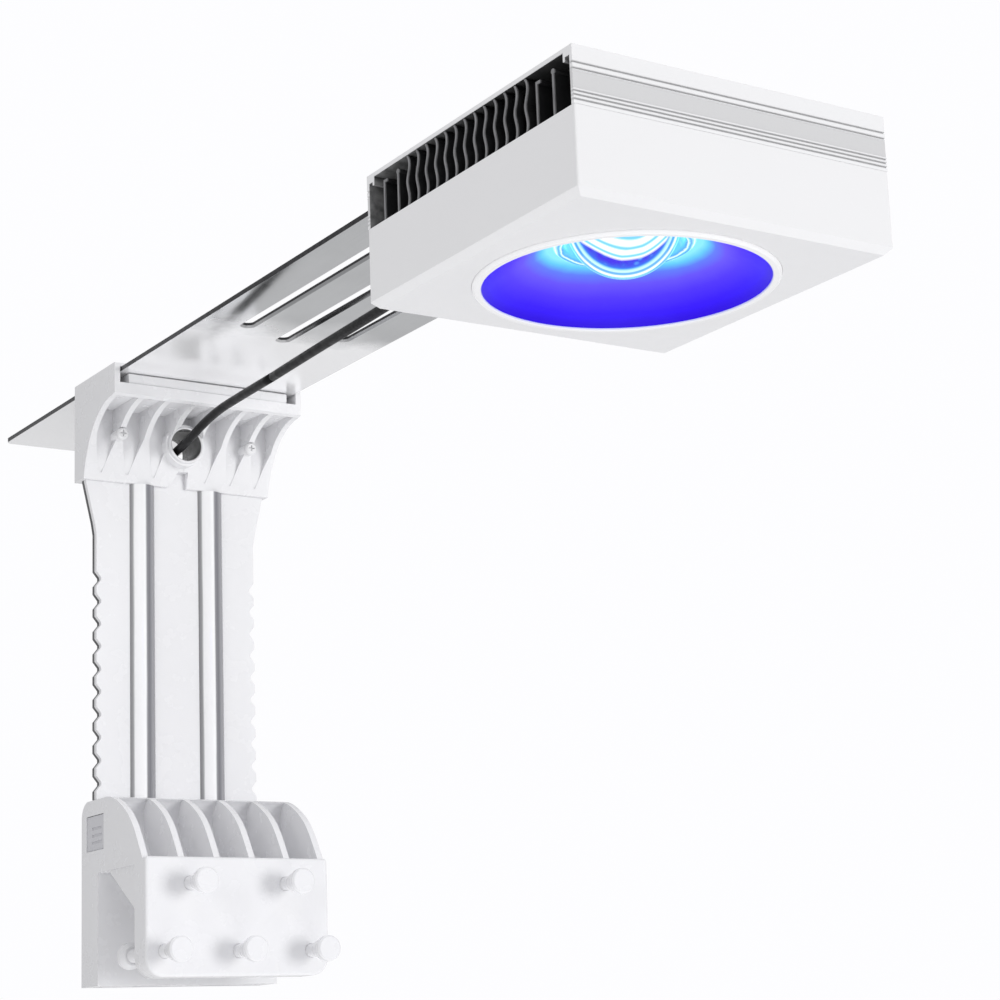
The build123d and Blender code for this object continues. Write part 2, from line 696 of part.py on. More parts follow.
def led_board():
    board = rod_z(30.0, 0, HEAD_Y, BOARD_Z, BOARD_Z + BOARD_T)
    for k in range(3):
        angle = math.radians(30 + 120 * k)
        x, y = 26.0 * math.sin(angle), HEAD_Y + 26.0 * math.cos(angle)
        board -= rod_z(1.2, x, y, BOARD_Z - 1, BOARD_Z + BOARD_T + 1)
    return board


def driver_board():
    """Circuit board at the back of the tray, above the bowl."""
    back = HEAD_BACK - HOUSING_WALL - 4.0
    return block((-44, 44), (back - 19, back), (BOARD_Z - 10.0, BOARD_Z - 8.4))


def driver_parts():
    """Capacitors, coils and chips on the driver board."""
    back = HEAD_BACK - HOUSING_WALL - 4.0
    top = BOARD_Z - 8.4
    parts = [rod_z(3.0, x, back - 5.0, top, top + 7.0) for x in (2.0, 10.0, 18.0)]
    parts += [block((x, x + 7), (back - 16, back - 9), (top, top + 4.5)) for x in (0.0, 10.0, 20.0)]
    parts += [block((30, 41), (back - 15, back - 4), (top, top + 2.0))]
    return parts


def head_bolt(x, y):
    """Button-head bolt through a strip, the plate's slot and the cover's top."""
    strip_top = PLATE_TOP + GAP + 1.8
    head = turned_z([(0, strip_top), (4.6, strip_top), (4.3, strip_top + 1.7), (2.8, strip_top + 2.8),
                     (0, strip_top + 2.8)], x, y)
    socket = extrude(Plane((x, y, strip_top + 1.2)) * RegularPolygon(1.7, 6), 2)
    return head - socket + rod_z(BOLT_R, x, y, HEAD_TOP - 7.6, strip_top + 0.1)


def clinch_nut(x, y):
    """Nut under the cover's top sheet."""
    top = HEAD_TOP - COVER_T
    nut = extrude(Plane((x, y, top - 4.4)) * RegularPolygon(4.3, 6), 4.4)
    return nut - rod_z(BOLT_R + 0.05, x, y, top - 5, top + 1)


def slide_strip(x):
    """Washer strip on top of the plate, over one outer slot."""
    low = PLATE_TOP + GAP
    strip = block((x - 7, x + 7), (min(BOLT_Y) - 9, max(BOLT_Y) + 9), (low, low + 1.8))
    strip = fillet(strip.edges().filter_by(Axis.Z), 3.0)
    for y in BOLT_Y:
        strip -= rod_z(BOLT_R + 0.1, x, y, low - 1, low + 3)
    return strip


def housing_screw(x, y):
    """Countersunk screw through the heat sink's base into a post of the tray."""
    base_top = SINK_LOW + SINK_BASE_T
    head = turned_z([(0, base_top - 1.5), (1.4, base_top - 1.5), (2.3, base_top), (0, base_top)], x, y)
    return head + rod_z(1.15, x, y, SINK_LOW - 10, base_top - 1)


def cable_gland():
    """Gland in the tray's back wall: threaded body, hexagon and domed nut."""
    y = HEAD_BACK
    profile = [
        (LEAD_D / 2 + TOUCH / 2, y - 6.5), (3.0, y - 6.5), (3.0, y + TOUCH), (5.4, y + TOUCH), (5.4, y + 3.2),
        (4.6, y + 3.6), (4.6, y + 7.8), (3.6, y + 10.2), (LEAD_D / 2 + 0.6, y + GLAND_L),
        (LEAD_D / 2 + TOUCH / 2, y + GLAND_L),
    ]
    body = turned_y(profile, GLAND_X, GLAND_Z)
    flats = extrude(Plane((GLAND_X, y + 3.3, GLAND_Z), (1, 0, 0), (0, -1, 0)) * RegularPolygon(5.2, 6), 3.1)
    ring = rod_y(7, GLAND_X, GLAND_Z, y + 0.2, y + 3.3) - flats
    return body - ring


def gland_nut():
    """Thin nut inside the tray."""
    y = HEAD_BACK - HOUSING_WALL
    nut = extrude(Plane((GLAND_X, y - TOUCH, GLAND_Z), (1, 0, 0), (0, -1, 0)) * RegularPolygon(5.4, 6), 2.4)
    return nut - rod_y(3.05, GLAND_X, GLAND_Z, y - 4, y + 1)


# ---------------------------------------------------------------- power lead

SPLICE = (-12.6, -105.0, 192.3)
SPLICE_REAR = (-12.57, -104.8, 192.31)
FRONT_ROUTE = [
    (GLAND_X, HEAD_BACK + GLAND_L - 5.0, GLAND_Z), (-28.6, -225.0, 184.9), (-23.6, -185.0, 187.2),
    (-18.3, -145.0, 189.8), SPLICE,
]
REAR_ROUTE = [
    SPLICE_REAR, (-8.4, -70.0, 194.4), (-5.6, -35.0, 195.2), (-4.3, -3.0, 188.7), (-1.0, 24.0, 188.0),
    (5.5, 42.0, 172.0), (15.0, 43.2, 149.0), (23.6, 38.4, 126.6),
]
TAIL_ROUTE = [
    (18.6, 27.2, 102.4), (6.0, 28.6, 86.0), (PLUG_X, PLUG_Y, 66.0), (PLUG_X, PLUG_Y + 0.2, PLUG_TOP - 10.0),
]


def tube(points, name):
    """A round cable along straight runs that large arcs join."""
    corners = [Vector(*p) for p in points]
    radii = []
    for a, b, c in zip(corners, corners[1:], corners[2:]):
        turn = math.radians((b - a).get_angle(c - b))
        run = min((b - a).length, (c - b).length)
        radii.append(0.45 * run / math.tan(turn / 2))
    path = FilletPolyline(*points, radius=radii)
    start = Plane(origin=path @ 0, z_dir=path % 0)
    solid = sweep(start * Circle(LEAD_D / 2), path)
    section = math.pi * LEAD_D ** 2 / 4
    print(f"{name}: {path.length:.0f} mm, radii {[round(r) for r in radii]}, "
          f"volume ratio {solid.volume / (section * path.length):.3f}")
    return solid


def coil_radii():
    return (COIL_TURN_R - LEAD_D, COIL_TURN_R + LEAD_D)


def lead_coil():
    """Outer shape of the tied coil behind the post."""
    inner, outer = coil_radii()
    depth = COIL_ROWS * LEAD_D
    ring = rod_y(outer, COIL_X, COIL_Z, COIL_FRONT, COIL_FRONT + depth)
    ring -= rod_y(inner, COIL_X, COIL_Z, COIL_FRONT - 1, COIL_FRONT + depth + 1)
    return fillet(ring.edges().filter_by(GeomType.CIRCLE), LEAD_D / 2 - 0.1)


def coil_tie():
    """Band round the bundle at the bottom of the coil."""
    inner, outer = coil_radii()
    low, high = COIL_Z - outer - 1.0, COIL_Z - inner + 1.0
    y = (COIL_FRONT - 1.0, COIL_FRONT + COIL_ROWS * LEAD_D + 1.0)
    x = (COIL_X - 4.0, COIL_X + 4.0)
    band = block(x, y, (low, high))
    hole = block((x[0] - 1, x[1] + 1), (y[0] + 0.9, y[1] - 0.9), (low + 0.9, high - 0.9))
    return fillet(band.edges().filter_by(Axis.X), 1.5) - hole


def plug_body():
    """Moulded grip with a ribbed strain relief above it."""
    low = PLUG_TOP - PLUG_BODY_L
    bore = LEAD_D / 2 + 0.25
    profile = [(bore, PLUG_TOP), (bore, PLUG_TOP - 11.0), (0, PLUG_TOP - 11.0), (0, low)]
    profile += [(PLUG_R - 0.6, low), (PLUG_R, low + 0.6), (PLUG_R, low + 12.0), (PLUG_R - 1.2, low + 14.0)]
    for ring in range(3):
        z = low + 15.5 + ring * 4.0
        radius = PLUG_R - 1.5 - ring * 0.25
        profile += [(radius - 0.5, z), (radius, z + 0.4), (radius, z + 2.2), (radius - 0.5, z + 2.6)]
    profile += [(bore + 0.5, PLUG_TOP)]
    return turned_z(profile, PLUG_X, PLUG_Y)


def plug_barrel():
    """Bright sleeve of the low-voltage plug, with its insulated bore."""
    top = PLUG_TOP - PLUG_BODY_L
    low = top - PLUG_BARREL_L
    profile = [
        (1.05, low), (PLUG_BARREL_R - 0.3, low), (PLUG_BARREL_R, low + 0.3), (PLUG_BARREL_R, top),
        (0, top), (0, top - 1.0), (1.05, top - 1.0),
    ]
    return turned_z(profile, PLUG_X, PLUG_Y)


def main():
    os.makedirs("parts", exist_ok=True)
    save("rim_clamp_body", rim_clamp_body())
    for side, name in ((-1, "left"), (1, "right")):
        save(f"detent_clip_{name}", detent_clip(side))
        save(f"post_rail_{name}", post_rail(side))
    for number, (x, z) in enumerate(SCREW_PLACES, 1):
        save(f"thumb_screw_{number}", thumb_screw(x, z))
        save(f"pressure_foot_{number}", pressure_foot(x, z))
    save("post_board", post_board())
    save("arm_bracket", arm_bracket())
    save("arm_clamp_bar", arm_clamp_bar())
    save("bar_set_screws", *[set_screw(bar_screw_x(x)) for x in boss_places()])
    save("bracket_screws", *[bracket_screw(x) for x in boss_places()])
    save("cable_bush", cable_bush())
    save("arm_plate", arm_plate())
    save("head_cover", head_cover())
    save("heat_sink", heat_sink())
    save("lower_housing", lower_housing())
    save("bezel_ring", bezel_ring())
    save("reflector", reflector())
    save("lens_holder", lens_holder())
    save("lens", lens())
    save("led_board", led_board())
    save("led_chips", *led_chips())
    save("thermal_pad", rod_z(29.0, 0, HEAD_Y, SINK_LOW - PAD_T, SINK_LOW))
    save("driver_board", driver_board())
    save("driver_parts", *driver_parts())
    save("head_bolts", *[head_bolt(x, y) for x, y in bolt_places()])
    save("clinch_nuts", *[clinch_nut(x, y) for x, y in bolt_places()])
    save("slide_strips", *[slide_strip(x) for x in (-SLOT_X, SLOT_X)])
    save("housing_screws", *[housing_screw(x, y) for x, y in housing_screw_places()])
    save("cable_gland", cable_gland())
    save("gland_nut", gland_nut())
    save("lead_front", tube(FRONT_ROUTE, "lead_front"))
    save("lead_rear", tube(REAR_ROUTE, "lead_rear"))
    save("lead_coil", lead_coil())
    save("coil_tie", coil_tie())
    save("lead_tail", tube(TAIL_ROUTE, "lead_tail"))
    save("plug_body", plug_body())
    save("plug_barrel", plug_barrel())


main()
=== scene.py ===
import json
import math

import bpy
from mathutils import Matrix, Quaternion, Vector


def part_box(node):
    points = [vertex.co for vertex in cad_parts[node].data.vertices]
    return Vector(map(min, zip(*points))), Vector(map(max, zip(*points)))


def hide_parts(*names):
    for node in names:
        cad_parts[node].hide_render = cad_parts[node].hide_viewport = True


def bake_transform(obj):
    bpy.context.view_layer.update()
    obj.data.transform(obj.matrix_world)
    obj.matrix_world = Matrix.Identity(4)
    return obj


# The looks of a clip-on aquarium lamp, in metres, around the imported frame.

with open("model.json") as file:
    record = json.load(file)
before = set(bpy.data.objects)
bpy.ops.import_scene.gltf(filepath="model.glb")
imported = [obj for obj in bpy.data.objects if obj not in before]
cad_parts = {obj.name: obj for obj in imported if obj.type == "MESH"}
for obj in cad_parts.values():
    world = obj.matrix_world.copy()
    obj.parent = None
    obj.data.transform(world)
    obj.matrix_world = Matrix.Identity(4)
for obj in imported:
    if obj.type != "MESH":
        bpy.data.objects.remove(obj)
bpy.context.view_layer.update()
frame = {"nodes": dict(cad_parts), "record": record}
NODES = frame["nodes"]

BOWL_LOW, BOWL_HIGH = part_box("reflector")
BOWL_CENTRE = (BOWL_LOW + BOWL_HIGH) / 2
HOLDER_LOW, HOLDER_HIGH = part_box("lens_holder")
BOWL_R = (BOWL_HIGH.x - BOWL_LOW.x) / 2
HOLDER_R = (HOLDER_HIGH.x - HOLDER_LOW.x) / 2
LENS_LOW, LENS_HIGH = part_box("lens")
COVER_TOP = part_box("head_cover")[1].z
POST_LOW, POST_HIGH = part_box("post_board")
POST_LINE = (POST_LOW.y + 0.0022, POST_HIGH.y - 0.0001)

WHITE_PLASTIC = (0.82, 0.82, 0.835)
WHITE_PAINT = (0.81, 0.81, 0.82)

# The cover's front, as depths below its top: fine grooves, painted with dark lines of shade, and a sunk band
# between them, darkened with painted shade.
GROOVE_DEPTHS = (0.0059, 0.0079, 0.0152, 0.0165, 0.0179)
SUNK_BAND = (0.0084, 0.0144)
COVER_SKIN = 0.0009

# Where the arm plate turns from a dark mirror to a painted pale reflection on a duller finish, along Y.
REFLECTION_FROM, REFLECTION_TO = -0.120, -0.090

# How close together the lens's bright arcs lie, and where the first one starts.
ARC_RATE, ARC_PHASE = 40.0, 2.6

FLOOR_Z = -0.16
FLOOR_HALF = 12.0
BACKDROP_SEEN = 1.0
BACKDROP_LIGHT = 0.57

# Name, direction of the light, strength, softness in degrees, and whether it shows in reflections.
SUNS = [
    ("key_sun", (-0.40, 0.88, -0.02), 0.40, 24, False),
    ("under_sun", (-0.05, 0.25, 0.95), 0.38, 50, True),
    ("top_sun", (0.10, 0.55, -0.83), 0.20, 60, True),
]
FILL_AWAY, FILL_SIZE, FILL_WATTS = 0.42, 0.30, 0.36

CAMERA_PLACE = (-0.457, -0.948, -0.090)
CAMERA_TURN, CAMERA_RAISED, CAMERA_LEAN = (math.radians(angle) for angle in (-33.27, 13.43, -2.27))
CAMERA_LENS = 86.8


# ---------------------------------------------------------------- node helpers


class Nodes:
    """Builds one material's node tree with short calls."""

    def __init__(self, name):
        self.material = bpy.data.materials.new(name)
        self.material.use_nodes = True
        self.tree = self.material.node_tree
        self.shader = self.tree.nodes["Principled BSDF"]

    def add(self, kind, **settings):
        node = self.tree.nodes.new("ShaderNode" + kind)
        for key, value in settings.items():
            setattr(node, key, value)
        return node

    def link(self, source, target):
        self.tree.links.new(source, target)

    def set(self, **values):
        for key, value in values.items():
            self.shader.inputs[key.replace("_", " ")].default_value = value

    def place(self, stretch=(1, 1, 1), centre=(0, 0, 0)):
        """Object coordinates in metres, moved to a centre and stretched."""
        coords = self.add("TexCoord")
        mapping = self.add("Mapping")
        mapping.inputs["Scale"].default_value = stretch
        mapping.inputs["Location"].default_value = [-c * s for c, s in zip(centre, stretch)]
        self.link(coords.outputs["Object"], mapping.inputs["Vector"])
        return mapping.outputs["Vector"]

    def parts(self, vector):
        """X, Y and Z of a vector."""
        split = self.add("SeparateXYZ")
        self.link(vector, split.inputs["Vector"])
        return split.outputs["X"], split.outputs["Y"], split.outputs["Z"]

    def noise(self, scale, detail=4.0, rough=0.55, at=None):
        node = self.add("TexNoise")
        node.inputs["Scale"].default_value = scale
        node.inputs["Detail"].default_value = detail
        node.inputs["Roughness"].default_value = rough
        self.link(at if at is not None else self.place(), node.inputs["Vector"])
        return node.outputs["Fac"]

    def remap(self, value, low, high, out_low, out_high):
        node = self.add("MapRange")
        sockets = ("From Min", "From Max", "To Min", "To Max")
        for key, number in zip(sockets, (low, high, out_low, out_high)):
            node.inputs[key].default_value = number
        self.link(value, node.inputs["Value"])
        return node.outputs["Result"]

    def math(self, operation, a, b=None, c=None):
        node = self.add("Math", operation=operation)
        for socket, value in zip(node.inputs, (a, b, c)):
            if value is None:
                continue
            if isinstance(value, (int, float)):
                socket.default_value = value
            else:
                self.link(value, socket)
        return node.outputs[0]

    def ramp(self, value, stops):
        node = self.add("ValToRGB")
        elements = node.color_ramp.elements
        while len(elements) < len(stops):
            elements.new(1.0)
        for element, (position, colour) in zip(elements, stops):
            element.position = position
            element.color = (*colour, 1.0)
        self.link(value, node.inputs["Fac"])
        return node.outputs["Color"]

    def mix(self, amount, a, b, mode="MIX"):
        node = self.add("Mix", data_type="RGBA", blend_type=mode)
        for socket, value in zip((node.inputs[0], node.inputs[6], node.inputs[7]), (amount, a, b)):
            if isinstance(value, (int, float)):
                socket.default_value = value
            elif isinstance(value, tuple):
                socket.default_value = (*value, 1.0)
            else:
                self.link(value, socket)
        return node.outputs[2]

    def bump(self, height, strength, distance):
        node = self.add("Bump")
        node.inputs["Strength"].default_value = strength
        node.inputs["Distance"].default_value = distance
        self.link(height, node.inputs["Height"])
        self.link(node.outputs["Normal"], self.shader.inputs["Normal"])

    def worn_edges(self, colour, edge_colour, amount):
        """Lays edge_colour along the sharp outside edges."""
        pointed = self.remap(self.add("NewGeometry").outputs["Pointiness"], 0.52, 0.60, 0.0, amount)
        broken = self.math("MULTIPLY", pointed, self.remap(self.noise(260.0), 0.35, 0.6, 0.4, 1.0))
        return self.mix(broken, colour, edge_colour)


def srgb(red, green, blue):
    """0-255 display values to linear light."""
    def linear(v):
        v /= 255
        return v / 12.92 if v <= 0.04045 else ((v + 0.055) / 1.055) ** 2.4
    return (linear(red), linear(green), linear(blue))


def shade(colour, share):
    """The colour made lighter or darker."""
    return tuple(min(1.0, channel * share) for channel in colour)


# ---------------------------------------------------------------- materials


def moulded_plastic(name, colour, rough=0.26, dark_line=None):
    """Injection-moulded plastic: faint flow mottling, fine grain, slight rub on the edges. dark_line is the
    low and high Y of a black line that runs round the sides of a board."""
    n = Nodes(name)
    mottled = n.ramp(n.noise(26.0, 6.0), [
        (0.30, shade(colour, 0.994)), (0.55, colour), (0.80, shade(colour, 1.003)),
    ])
    if dark_line:
        # Near-black on the board's narrow sides, over the rear of its thickness.
        mottled = n.mix(narrow_side_band(n, *dark_line), mottled, (0.045, 0.045, 0.048))
    edged = n.worn_edges(mottled, shade(colour, 1.03), 0.3)
    n.link(edged, n.shader.inputs["Base Color"])
    n.link(n.remap(n.noise(90.0, 5.0), 0.3, 0.7, rough - 0.02, rough + 0.03), n.shader.inputs["Roughness"])
    n.bump(n.noise(1400.0, 3.0), 0.25, 0.00002)
    n.set(IOR=1.49, Coat_Weight=0.08, Coat_Roughness=0.2)
    return n.material


def narrow_side_band(n, low, high):
    """1 on the narrow sides of a board between two Y values, 0 elsewhere."""
    y = n.parts(n.place())[1]
    facing_y = n.parts(n.add("TexCoord").outputs["Normal"])[1]
    between = n.math("MULTIPLY", n.math("GREATER_THAN", y, low), n.math("LESS_THAN", y, high))
    sideways = n.remap(n.math("ABSOLUTE", facing_y), 0.5, 0.7, 1.0, 0.0)
    return n.math("MULTIPLY", between, sideways)


def painted_shell(name, colour, painted_shade=False):
    """Powder-coated aluminium: orange-peel bump and a satin sheen."""
    n = Nodes(name)
    mottled = n.ramp(n.noise(18.0, 5.0), [
        (0.28, shade(colour, 0.992)), (0.6, colour), (0.85, shade(colour, 1.004)),
    ])
    # Painted shade: dark lines in the grooves, a darker sunk band, and black on the inner faces.
    if painted_shade:
        mottled = n.mix(1.0, mottled, n.math("MULTIPLY", painted_groove_shade(n), painted_inside_shade(n)), "MULTIPLY")
    edged = n.worn_edges(mottled, shade(colour, 1.03), 0.35)
    n.link(edged, n.shader.inputs["Base Color"])
    n.link(n.remap(n.noise(140.0, 4.0), 0.3, 0.7, 0.39, 0.46), n.shader.inputs["Roughness"])
    n.bump(n.noise(950.0, 2.0), 0.30, 0.00003)
    n.set(IOR=1.5, Coat_Weight=0.06, Coat_Roughness=0.3)
    return n.material


def painted_groove_shade(n):
    """Painted shade on the cover's front: dark lines in its fine grooves and a darker sunk band between them,
    by depth below its top.
    """
    depth = n.math("SUBTRACT", COVER_TOP, n.parts(n.place())[2])
    blur = 0.0001
    band_top, band_foot = SUNK_BAND
    below_top = n.remap(depth, band_top - blur, band_top + blur, 0.0, 1.0)
    above_foot = n.remap(depth, band_foot - blur, band_foot + blur, 1.0, 0.0)
    light = n.math("MULTIPLY_ADD", n.math("MULTIPLY", below_top, above_foot), -0.24, 1.0)
    for groove in GROOVE_DEPTHS:
        away = n.math("ABSOLUTE", n.math("SUBTRACT", depth, groove))
        line = n.remap(away, 0.0002, 0.0006, 0.34, 0.0)
        light = n.math("SUBTRACT", light, line)
    return light


def painted_inside_shade(n):
    """Painted shade: black on the inner faces under the top sheet and behind the walls, where the cover hides
    the heat sink.
    """
    low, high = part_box("head_cover")
    x, y, z = n.parts(n.place())
    middle, half = (low + high) / 2, (high - low) / 2
    along = n.math("ABSOLUTE", n.math("SUBTRACT", y, middle.y))
    across = n.math("ABSOLUTE", x)
    inside = n.math("MULTIPLY", n.math("LESS_THAN", along, half.y - COVER_SKIN),
                    n.math("LESS_THAN", across, half.x - 0.0002))
    inside = n.math("MULTIPLY", inside, n.math("LESS_THAN", z, high.z - COVER_SKIN))
    return n.math("MULTIPLY_ADD", inside, -0.95, 1.0)


def polished_sheet(name, colour, rough=0.10):
    """Polished stainless steel with faint hairlines and smears: near-black on the upright faces of its edges
    and slots, and a painted pale reflection, on a duller and less metallic finish, over the part nearest the
    bracket."""
    n = Nodes(name)
    lines = n.noise(2200.0, 3.0, 0.6, n.place((1.0, 0.02, 1.0)))
    smears = n.noise(22.0, 5.0, 0.6)
    tint = n.ramp(n.math("ADD", n.math("MULTIPLY", lines, 0.4), n.math("MULTIPLY", smears, 0.6)), [
        (0.30, shade(colour, 0.88)), (0.62, colour),
    ])
    facing_z = n.parts(n.add("TexCoord").outputs["Normal"])[2]
    upright = n.remap(n.math("ABSOLUTE", facing_z), 0.55, 0.85, 1.0, 0.0)
    # Near-black on the upright faces: the plate's edges and slot walls.
    upright_dark = n.ramp(n.noise(400.0, 3.0), [(0.3, (0.02, 0.02, 0.022)), (0.7, (0.06, 0.06, 0.065))])
    ragged = n.math("ADD", n.parts(n.place())[1], n.remap(smears, 0.3, 0.7, -0.012, 0.012))
    # Painted pale reflection over the part of the arm nearest the bracket, made duller and less metallic.
    painted_reflection = n.remap(ragged, REFLECTION_FROM, REFLECTION_TO, 0.0, 1.0)
    sheen = n.mix(painted_reflection, tint, (0.97, 0.97, 0.98))
    n.link(n.mix(upright, sheen, upright_dark), n.shader.inputs["Base Color"])
    smear_rough = n.remap(smears, 0.3, 0.7, rough - 0.03, rough + 0.05)
    n.link(n.math("MULTIPLY_ADD", painted_reflection, 0.10, smear_rough), n.shader.inputs["Roughness"])
    n.link(n.remap(painted_reflection, 0.0, 1.0, 1.0, 0.42), n.shader.inputs["Metallic"])
    n.bump(lines, 0.06, 0.00001)
    return n.material


def polished_rail(name, node):
    """Drawn bright rail with a painted reflection across it: a dark line of painted shade, a broad bright
    flank and a grey flank, with draw lines along it.
    """
    n = Nodes(name)
    low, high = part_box(node)
    share = n.remap(n.parts(n.place())[0], low.x, high.x, 0.0, 1.0)
    draw = n.noise(1500.0, 3.0, 0.6, n.place((1.0, 1.0, 0.02)))
    wander = n.math("MULTIPLY_ADD", draw, 0.05, n.math("SUBTRACT", share, 0.025))
    # Painted reflection and shade across the rail, by place across it.
    bands = n.ramp(wander, [
        (0.02, (0.30, 0.30, 0.31)), (0.08, (0.38, 0.38, 0.39)), (0.13, (0.98, 0.98, 0.99)),
        (0.50, (0.96, 0.96, 0.97)), (0.56, (0.28, 0.28, 0.30)), (0.66, (0.20, 0.20, 0.22)),
        (0.80, (0.34, 0.34, 0.36)), (0.95, (0.24, 0.24, 0.26)),
    ])
    n.link(bands, n.shader.inputs["Base Color"])
    n.link(n.remap(draw, 0.3, 0.7, 0.12, 0.22), n.shader.inputs["Roughness"])
    n.bump(draw, 0.1, 0.00001)
    n.set(Metallic=0.1, IOR=1.6)
    return n.material


def bush_plastic(name, colour):
    """The white of the other mouldings, with the inside of the bore in the shade."""
    n = Nodes(name)
    low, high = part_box("cable_bush")
    across, _, up = n.parts(n.place(centre=(low + high) / 2))
    distance = n.math("SQRT", n.math("ADD", n.math("MULTIPLY", across, across), n.math("MULTIPLY", up, up)))
    outer = (high.x - low.x) / 2
    bore = n.remap(distance, outer - 0.0012, outer - 0.0010, 1.0, 0.0)
    # Painted shade, near-black, on the inside of the bore.
    bore_painted_shade = n.ramp(n.noise(300.0, 4.0), [(0.3, shade(colour, 0.12)), (0.7, shade(colour, 0.2))])
    n.link(n.mix(bore, colour, bore_painted_shade), n.shader.inputs["Base Color"])
    n.link(n.remap(n.noise(90.0, 5.0), 0.3, 0.7, 0.25, 0.38), n.shader.inputs["Roughness"])
    n.bump(n.noise(1400.0, 3.0), 0.25, 0.00002)
    n.set(IOR=1.49)
    return n.material


def plain_steel(name, colour, rough=0.3):
    """Plated metal of the small fasteners and of the plug."""
    n = Nodes(name)
    tint = n.ramp(n.noise(320.0, 5.0), [(0.3, shade(colour, 0.8)), (0.7, colour)])
    n.link(tint, n.shader.inputs["Base Color"])
    n.link(n.remap(n.noise(500.0), 0.3, 0.7, rough - 0.08, rough + 0.12), n.shader.inputs["Roughness"])
    n.bump(n.noise(1800.0, 3.0), 0.2, 0.00002)
    n.set(Metallic=1.0)
    return n.material


def black_anodised():
    """Sawn and anodised extrusion: near-black flanks, bare grey along the sawn edges."""
    n = Nodes("black_anodised")
    base = n.ramp(n.noise(60.0, 5.0), [(0.3, (0.010, 0.010, 0.011)), (0.7, (0.024, 0.024, 0.026))])
    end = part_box("heat_sink")[1].x
    distance = n.math("ABSOLUTE", n.parts(n.place())[0])
    sawn = n.remap(distance, end - 0.0006, end - 0.0003, 0.0, 1.0)
    saw_marks = n.remap(n.noise(2600.0, 2.0, 0.6, n.place((1, 1, 0.08))), 0.3, 0.7, 0.55, 1.0)
    face = n.math("MULTIPLY", sawn, saw_marks)
    n.link(n.mix(face, base, (0.30, 0.30, 0.31)), n.shader.inputs["Base Color"])
    n.link(n.remap(n.noise(300.0), 0.3, 0.7, 0.42, 0.6), n.shader.inputs["Roughness"])
    n.bump(n.noise(1500.0, 3.0, 0.6, n.place((0.05, 1, 1))), 0.3, 0.00003)
    n.set(Metallic=0.35)
    return n.material


def cable_jacket(name="cable_jacket", rough=0.38):
    """Soft black PVC with a fine matt grain and faint scuffs."""
    n = Nodes(name)
    base = n.ramp(n.noise(420.0, 5.0), [(0.30, (0.003, 0.003, 0.0035)), (0.75, (0.009, 0.009, 0.010))])
    scuffs = n.remap(n.noise(75.0, 8.0, 0.7), 0.58, 0.72, 0.0, 0.4)
    n.link(n.mix(scuffs, base, (0.022, 0.022, 0.024)), n.shader.inputs["Base Color"])
    n.link(n.remap(n.noise(240.0), 0.3, 0.7, rough - 0.06, rough + 0.12), n.shader.inputs["Roughness"])
    n.bump(n.noise(2600.0, 3.0), 0.25, 0.00003)
    n.set(IOR=1.25)
    return n.material


def radius_from_axis(n):
    """Distance from the bowl's upright axis, in metres, and the direction in the plane across it."""
    x, y, _ = n.parts(n.place(centre=(BOWL_CENTRE.x, BOWL_CENTRE.y, 0)))
    squares = n.math("ADD", n.math("MULTIPLY", x, x), n.math("MULTIPLY", y, y))
    return n.math("SQRT", squares), n.math("ARCTAN2", y, x)


def glowing(n, glow, strength, rough):
    """Light given off in the glow's colours, over a deep tint of the same."""
    n.link(n.mix(0.8, glow, (0.0, 0.0, 0.01)), n.shader.inputs["Base Color"])
    n.link(glow, n.shader.inputs["Emission Color"])
    n.set(Emission_Strength=strength, Roughness=rough)


def lit_reflector():
    """Bowl flooded with royal-blue light: deep at the rim, violet in the middle, cyan beside the lens."""
    n = Nodes("lit_reflector")
    radius, bearing = radius_from_axis(n)
    share = n.remap(radius, HOLDER_R, BOWL_R, 0.0, 1.0)
    lobes = n.math("SINE", n.math("MULTIPLY_ADD", bearing, 2.0, -3.55))
    fade = n.remap(share, 0.0, 0.7, -0.09, 0.0)
    wobble = n.math("MULTIPLY_ADD", lobes, fade, n.remap(n.noise(45.0, 3.0), 0.3, 0.7, -0.025, 0.025))
    glow = n.ramp(n.math("ADD", share, wobble), [
        (0.00, srgb(135, 228, 252)), (0.09, srgb(96, 196, 255)), (0.20, srgb(92, 120, 255)),
        (0.36, srgb(98, 78, 254)), (0.58, srgb(74, 46, 254)), (0.80, srgb(52, 16, 250)),
        (0.97, srgb(42, 2, 216)),
    ])
    glowing(n, glow, 0.94, 0.35)
    n.set(Specular_IOR_Level=0.15)
    n.bump(n.noise(1200.0, 2.0), 0.15, 0.00002)
    return n.material


def lit_ring():
    """Clear collar that glows in white and cyan bands, one inside the other."""
    n = Nodes("lit_ring")
    radius, _ = radius_from_axis(n)
    drift = n.remap(n.noise(160.0, 3.0), 0.3, 0.7, -0.0003, 0.0003)
    share = n.remap(n.math("ADD", radius, drift), HOLDER_R - 0.0036, HOLDER_R, 0.0, 1.0)
    glow = n.ramp(share, [
        (0.00, srgb(96, 196, 250)), (0.18, srgb(70, 160, 248)), (0.30, srgb(235, 252, 255)),
        (0.42, srgb(120, 215, 252)), (0.55, srgb(70, 150, 248)), (0.72, srgb(150, 228, 252)),
        (0.84, srgb(245, 255, 255)), (1.00, srgb(160, 232, 252)),
    ])
    glowing(n, glow, 1.0, 0.12)
    return n.material


